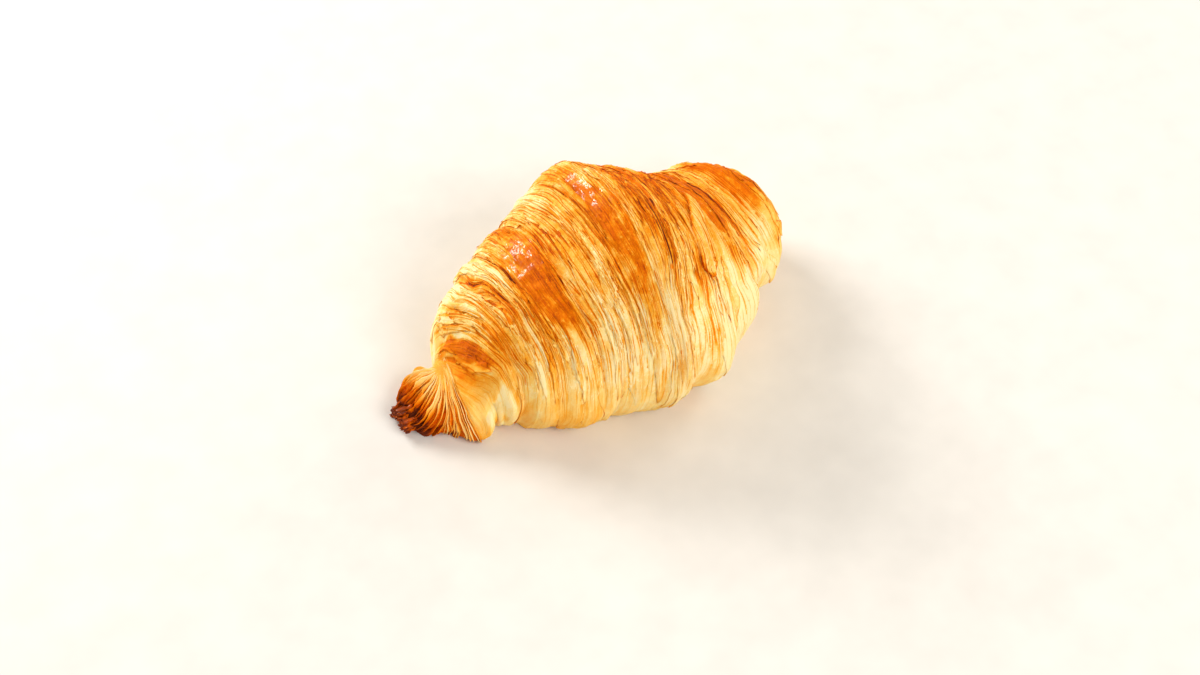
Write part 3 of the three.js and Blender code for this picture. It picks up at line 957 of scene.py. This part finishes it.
class NodeTree:
    """A Geometry Nodes tree being put together."""

    def __init__(self, name, sockets):
        self.tree = bpy.data.node_groups.new(name, "GeometryNodeTree")
        self.identifiers = {}
        for label, kind in sockets:
            socket = self.tree.interface.new_socket(name=label, in_out="INPUT", socket_type=kind)
            self.identifiers[label] = socket.identifier
        self.tree.interface.new_socket(name="Geometry", in_out="OUTPUT", socket_type="NodeSocketGeometry")
        self.inputs = self.tree.nodes.new("NodeGroupInput")

    def node(self, kind, settings=None, inputs=None):
        made = self.tree.nodes.new(kind)
        for key, value in (settings or {}).items():
            setattr(made, key, value)
        for key, value in (inputs or {}).items():
            if isinstance(value, bpy.types.NodeSocket):
                self.tree.links.new(value, made.inputs[key])
            else:
                made.inputs[key].default_value = value
        return made


def flake_tree():
    """Nodes that scatter torn flakes over a crust, along its strands and in its own browning."""
    sockets = (
        ("Crust", "NodeSocketGeometry"), ("Shapes", "NodeSocketCollection"), ("Density", "NodeSocketFloat"),
        ("Seed", "NodeSocketInt"), ("Smallest", "NodeSocketFloat"), ("Largest", "NodeSocketFloat"),
        ("Material", "NodeSocketMaterial"),
    )
    made = NodeTree("scattered_flakes", sockets)
    given = made.inputs.outputs
    flaking = made.node("GeometryNodeInputNamedAttribute", {"data_type": "FLOAT"}, {"Name": "flaking"})
    density = made.node("ShaderNodeMath", {"operation": "MULTIPLY"},
                        {0: flaking.outputs[0], 1: given["Density"]})
    points = made.node("GeometryNodeDistributePointsOnFaces", None,
                       {"Mesh": given["Crust"], "Density": density.outputs[0], "Seed": given["Seed"]})
    strand = made.node("GeometryNodeInputNamedAttribute", {"data_type": "FLOAT_VECTOR"}, {"Name": "strand"})
    aligned = made.node("FunctionNodeAlignRotationToVector", {"axis": "X", "pivot_axis": "Z"},
                        {"Rotation": points.outputs["Rotation"], "Vector": strand.outputs[0]})
    twist = made.node("FunctionNodeRandomValue", {"data_type": "FLOAT_VECTOR"},
                      {"Min": (-0.05, -0.05, -0.45), "Max": (0.05, 0.05, 0.45), "Seed": given["Seed"]})
    turned = made.node("FunctionNodeRotateRotation", {"rotation_space": "LOCAL"},
                       {"Rotation": aligned.outputs[0], "Rotate By": twist.outputs[0]})
    size = made.node("FunctionNodeRandomValue", {"data_type": "FLOAT"},
                     {2: given["Smallest"], 3: given["Largest"], "Seed": given["Seed"]})
    narrow = made.node("ShaderNodeMath", {"operation": "MULTIPLY"}, {0: size.outputs[1], 1: 0.5})
    scale = made.node("ShaderNodeCombineXYZ", None, {0: size.outputs[1], 1: narrow.outputs[0], 2: 1.0})
    shapes = made.node("GeometryNodeCollectionInfo", None,
                       {"Collection": given["Shapes"], "Separate Children": True, "Reset Children": True})
    placed = made.node("GeometryNodeInstanceOnPoints", None, {
        "Points": points.outputs["Points"], "Instance": shapes.outputs[0], "Pick Instance": True,
        "Rotation": turned.outputs[0], "Scale": scale.outputs[0]})
    old = made.node("GeometryNodeInputNamedAttribute", {"data_type": "FLOAT"}, {"Name": "browning"})
    change = made.node("FunctionNodeRandomValue", {"data_type": "FLOAT"}, {2: -0.06, 3: 0.05, "Seed": 4})
    tone = made.node("ShaderNodeMath", {"operation": "ADD"}, {0: old.outputs[0], 1: change.outputs[1]})
    toned = made.node("GeometryNodeStoreNamedAttribute", {"data_type": "FLOAT", "domain": "INSTANCE"},
                      {"Geometry": placed.outputs[0], "Name": "browning", "Value": tone.outputs[0]})
    real = made.node("GeometryNodeRealizeInstances", None, {"Geometry": toned.outputs[0]})
    painted = made.node("GeometryNodeSetMaterial", None,
                        {"Geometry": real.outputs[0], "Material": given["Material"]})
    made.node("NodeGroupOutput", None, {0: painted.outputs[0]})
    return made


def spread_flake_maps(mesh, corners):
    """Gives each flake, which has a known number of corners, its own square of the flat map they share."""
    layer = mesh.uv_layers["OFBake"]
    uv = np.empty(2 * len(mesh.loops), np.float32)
    layer.data.foreach_get("uv", uv)
    number = np.arange(len(mesh.loops)) // corners
    side = math.ceil(math.sqrt(number[-1] + 1))
    square = np.stack([number % side, number // side], -1)
    layer.data.foreach_set("uv", ((uv.reshape(-1, 2) + square) / side).astype(np.float32).ravel())


def scatter_flakes(tree, crust, shapes, seed, material):
    """Small torn flakes that lie on one piece of crust, as a plain mesh of their own."""
    holder = bpy.data.objects.new("flake_source", crust.data)
    bpy.context.scene.collection.objects.link(holder)
    modifier = holder.modifiers.new("flakes", "NODES")
    modifier.node_group = tree.tree
    values = {
        "Shapes": shapes, "Density": FLAKE_DENSITY, "Seed": seed,
        "Smallest": FLAKE_SMALLEST, "Largest": FLAKE_LARGEST, "Material": material,
    }
    for label, value in values.items():
        modifier[tree.identifiers[label]] = value
    evaluated = holder.evaluated_get(bpy.context.evaluated_depsgraph_get())
    mesh = bpy.data.meshes.new_from_object(evaluated)
    bpy.data.objects.remove(holder)
    spread_flake_maps(mesh, len(shapes.objects[0].data.loops))
    flakes = bpy.data.objects.new(crust.name.replace("crust", "flakes"), mesh)
    bpy.context.scene.collection.objects.link(flakes)
    return flakes


class Value:
    """A number socket of a material that takes Python's arithmetic."""

    def __init__(self, surface, socket):
        self.surface = surface
        self.socket = socket

    def math(self, operation, first, second=0.0, clamp=False):
        node = self.surface.node("Math", {"operation": operation, "use_clamp": clamp}, {0: first, 1: second})
        return Value(self.surface, node.outputs[0])

    def __add__(self, other):
        return self.math("ADD", self, other)

    def __radd__(self, other):
        return self.math("ADD", other, self)

    def __sub__(self, other):
        return self.math("SUBTRACT", self, other)

    def __rsub__(self, other):
        return self.math("SUBTRACT", other, self)

    def __mul__(self, other):
        return self.math("MULTIPLY", self, other)

    def __rmul__(self, other):
        return self.math("MULTIPLY", other, self)

    def absolute(self):
        return self.math("ABSOLUTE", self)

    def clamped(self):
        return self.math("ADD", self, 0.0, clamp=True)


class Surface:
    """One material: nodes by type, and sockets that can be reckoned with."""

    def __init__(self, name):
        self.material = bpy.data.materials.new(name)
        self.material.use_nodes = True
        self.tree = self.material.node_tree
        self.tree.nodes.clear()

    def node(self, kind, settings=None, inputs=None):
        made = self.tree.nodes.new("ShaderNode" + kind)
        for key, value in (settings or {}).items():
            if key == "stops":
                self.set_stops(made.color_ramp, value)
            else:
                setattr(made, key, value)
        for key, value in (inputs or {}).items():
            if isinstance(value, Value):
                self.tree.links.new(value.socket, made.inputs[key])
            else:
                made.inputs[key].default_value = value
        return made

    def set_stops(self, ramp, stops):
        while len(ramp.elements) < len(stops):
            ramp.elements.new(1.0)
        for element, (position, colour) in zip(ramp.elements, stops):
            element.position = position
            element.color = (*colour, 1.0)

    def take(self, node, output=0):
        return Value(self, node.outputs[output])

    def attribute(self, name, output="Fac"):
        return self.take(self.node("Attribute", {"attribute_name": name}), output)

    def scaled(self, vector, scale):
        return self.take(self.node("VectorMath", {"operation": "MULTIPLY"}, {0: vector, 1: scale}))

    def place(self):
        return self.take(self.node("TexCoord"), "Object")

    def part(self, vector, axis):
        return self.take(self.node("SeparateXYZ", None, {0: vector}), axis)

    def noise(self, vector, scale=1.0, detail=3.0, roughness=0.55):
        inputs = {"Vector": vector, "Scale": scale, "Detail": detail, "Roughness": roughness}
        return self.take(self.node("TexNoise", None, inputs), "Fac")

    def ramp(self, value, stops):
        return self.take(self.node("ValToRGB", {"stops": stops}, {"Fac": value}), "Color")

    def between(self, value, low, high):
        """0 below low, 1 above high, eased; the other way round if low is the higher one."""
        inputs = {"Value": value, "From Min": low, "From Max": high}
        return self.take(self.node("MapRange", {"interpolation_type": "SMOOTHSTEP"}, inputs), "Result")

    def bump(self, height, strength, distance):
        inputs = {"Height": height, "Strength": strength, "Distance": distance}
        return self.take(self.node("Bump", None, inputs), "Normal")

    def finish(self, inputs):
        shader = self.node("BsdfPrincipled", None, inputs)
        output = self.node("OutputMaterial")
        self.tree.links.new(shader.outputs[0], output.inputs["Surface"])
        return self.material


def srgb(red, green, blue):
    """Linear colour of a screen colour given from 0 to 255."""
    parts = [part / 255 for part in (red, green, blue)]
    return tuple(p / 12.92 if p <= 0.04045 else ((p + 0.055) / 1.055) ** 2.4 for p in parts)


# Baked dough from pale to dark, as screen colours at rising browning
BAKED = (
    (0.00, srgb(254, 229, 168)),
    (0.15, srgb(253, 210, 120)),
    (0.30, srgb(250, 184, 74)),
    (0.45, srgb(244, 155, 28)),
    (0.60, srgb(233, 121, 0)),
    (0.85, srgb(206, 88, 0)),
    (1.00, srgb(112, 48, 26)),
)


def crust_material(name, translucence):
    """Baked dough: its browning, with streaks, thin lines, pale flecks and painted glints, spots, painted
    shade in the gaps, and glossy places.
    """
    surface = Surface(name)
    brown = surface.attribute("browning")
    gap = surface.attribute("gap")
    band = surface.attribute("band")
    calm = surface.between(surface.part(surface.place(), "Z"), 0.01, 0.042)
    dough = surface.attribute("dough", "Vector")
    streak_noise = surface.noise(surface.scaled(dough, (1.5, 0.035, 1.0)), 1.0, 4.0, 0.65)
    streak = surface.between(streak_noise, 0.34, 0.66)
    thread = surface.noise(surface.scaled(dough, (0.8, 0.012, 1.0)), 1.0, 2.0, 0.7)
    thin_lines = surface.between((thread - 0.5).absolute(), 0.034, 0.01)
    mottle_noise = surface.noise(surface.scaled(dough, (0.6, 0.2, 1.0)), 1.0, 5.0, 0.62)
    mottle = surface.between(mottle_noise, 0.42, 0.58)
    even = 1 - surface.between(surface.part(dough, 0), 16.0, 30.0) * 0.4
    crumple = surface.noise(surface.scaled(dough, (1.5, 0.8, 1.0)), 1.0, 4.0, 0.6)
    # Pale flecks, partly painted glints of light on the crust
    flecks_and_glints = surface.between(crumple, 0.56, 0.62)
    grain = surface.noise(surface.place(), 900.0, 3.0)
    spot_noise = surface.noise(surface.scaled(dough, (0.62, 0.36, 1.0)), 1.0, 4.0, 0.65)
    patch_noise = surface.noise(surface.scaled(dough, (0.26, 0.14, 1.0)), 1.0, 4.0, 0.6)
    baked = surface.between(brown, 0.42, 0.6)
    pale_spots = surface.between(spot_noise, 0.61, 0.67) * baked
    dark_spots = surface.between(patch_noise, 0.52, 0.42) * baked
    lines = (1 - band * 0.5) * (0.2 + calm * 0.8)
    lively = 0.3 + calm * 0.7
    tone = brown - 0.02 + (streak - 0.5) * 0.04 * lines + (mottle - 0.5) * even * 0.12 * lively
    # The gaps between layers are darkened: browned edges and painted shade in them
    darker = dark_spots * 0.14 + thin_lines * lines * 0.4 + gap * 0.4
    tone = tone - flecks_and_glints * 0.13 * lively + (grain - 0.5) * 0.06 - pale_spots * 0.17
    tone = tone + darker * (1 - surface.between(brown, 0.42, 0.72) * 0.6)
    colour = surface.ramp(tone.clamped(), BAKED)
    shine = surface.between(band, 0.55, 0.95) * surface.between(patch_noise, 0.4, 0.46)
    shine = shine * (0.1 + surface.between(crumple, 0.47, 0.54) * 0.9)
    roughness = 0.55 - shine * 0.15 + (grain - 0.5) * 0.2
    height = streak * 0.2 * lines + (mottle * 0.4 + crumple * 1.1) * (0.25 + calm * 0.75)
    height = height + pale_spots * 0.7 - thin_lines * lines * 0.9
    normal = surface.bump(height, 0.6, 0.0006)
    return surface.finish({
        "Base Color": colour,
        "Roughness": roughness,
        "Specular IOR Level": 0.04,
        "Coat Weight": shine * 0.9,
        "Coat Roughness": 0.15,
        "Subsurface Weight": translucence,
        "Subsurface Radius": (1.0, 0.6, 0.3),
        "Subsurface Scale": 0.0009,
        "Normal": normal,
    })


def view_direction(azimuth, elevation):
    """Direction from the croissant to the camera, from angles in degrees."""
    a, e = math.radians(azimuth), math.radians(elevation)
    return Vector((math.sin(a) * math.cos(e), -math.cos(a) * math.cos(e), math.sin(e)))


def turned_to(direction):
    """Turn of a camera or a light that looks back along a direction."""
    return direction.to_track_quat("Z", "Y").to_matrix().to_4x4()


def add_camera():
    data = bpy.data.cameras.new("camera")
    data.lens = LENS
    data.sensor_width = SENSOR
    camera = bpy.data.objects.new("camera", data)
    bpy.context.scene.collection.objects.link(camera)
    back = view_direction(VIEW_AZIMUTH, VIEW_ELEVATION)
    turned = turned_to(back) @ Matrix.Rotation(math.radians(VIEW_ROLL), 4, "Z")
    camera.matrix_world = Matrix.Translation(VIEW_TARGET + back * VIEW_DISTANCE) @ turned
    bpy.context.scene.camera = camera


def add_softbox(name, place, size, power):
    """One soft rectangular light that faces the croissant."""
    data = bpy.data.lights.new(name, "AREA")
    data.shape = "RECTANGLE"
    data.size, data.size_y = size
    data.energy = power
    light = bpy.data.objects.new(name, data)
    bpy.context.scene.collection.objects.link(light)
    place = Vector(place)
    light.matrix_world = Matrix.Translation(place) @ turned_to(place - LIGHT_TARGET)


def add_studio():
    """The softboxes, and a faint warm light from all round."""
    for softbox in SOFTBOXES:
        add_softbox(*softbox)
    world = bpy.data.worlds.new("studio")
    world.use_nodes = True
    background = world.node_tree.nodes["Background"]
    background.inputs["Color"].default_value = STUDIO_COLOUR
    background.inputs["Strength"].default_value = STUDIO_STRENGTH
    bpy.context.scene.world = world
    bpy.context.scene.view_settings.view_transform = "Standard"


def add_floor():
    """A plain pale floor, with the faintest specks."""
    surface = Surface("pale_floor")
    speck = surface.noise(surface.place(), 60.0, 2.0)
    colour = surface.ramp(speck, ((0.3, srgb(219, 214, 206)), (0.7, srgb(225, 220, 212))))
    material = surface.finish({"Base Color": colour, "Roughness": 0.6})
    half = FLOOR_HALF
    corners = [(-half, -half, 0), (half, -half, 0), (half, half, 0), (-half, half, 0)]
    mesh_object("floor", corners, [(0, 1, 2, 3)], material)


def nearest_edge(s):
    """Edge of a fine layer nearest to a strand, so that no layer is cut through."""
    return float(FINE.edges[np.argmin(np.abs(FINE.edges - s))])


def build_croissant():
    """Every piece of the croissant, in place of its plain solid."""
    material, loose = crust_material("baked_crust", 0.3), crust_material("loose_crust", 0.0)
    ends = [LEFT_END] + [nearest_edge(seam) for seam in SEAMS] + [RIGHT_END]
    names = ("crust_left", "crust_middle", "crust_right")
    pieces = [build_crust(name, low, high, material) for name, low, high in zip(names, ends, ends[1:])]
    tree, shapes = flake_tree(), flake_shapes()
    pieces += [scatter_flakes(tree, crust, shapes, seed, loose) for seed, crust in enumerate(pieces, 1)]
    pieces += [build_strips(loose), build_petals(loose), build_fan(loose), build_tongue(loose)]
    for piece in pieces:
        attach(piece, BODY)
        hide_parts(NODE)


add_camera()
add_studio()
add_floor()
build_croissant()
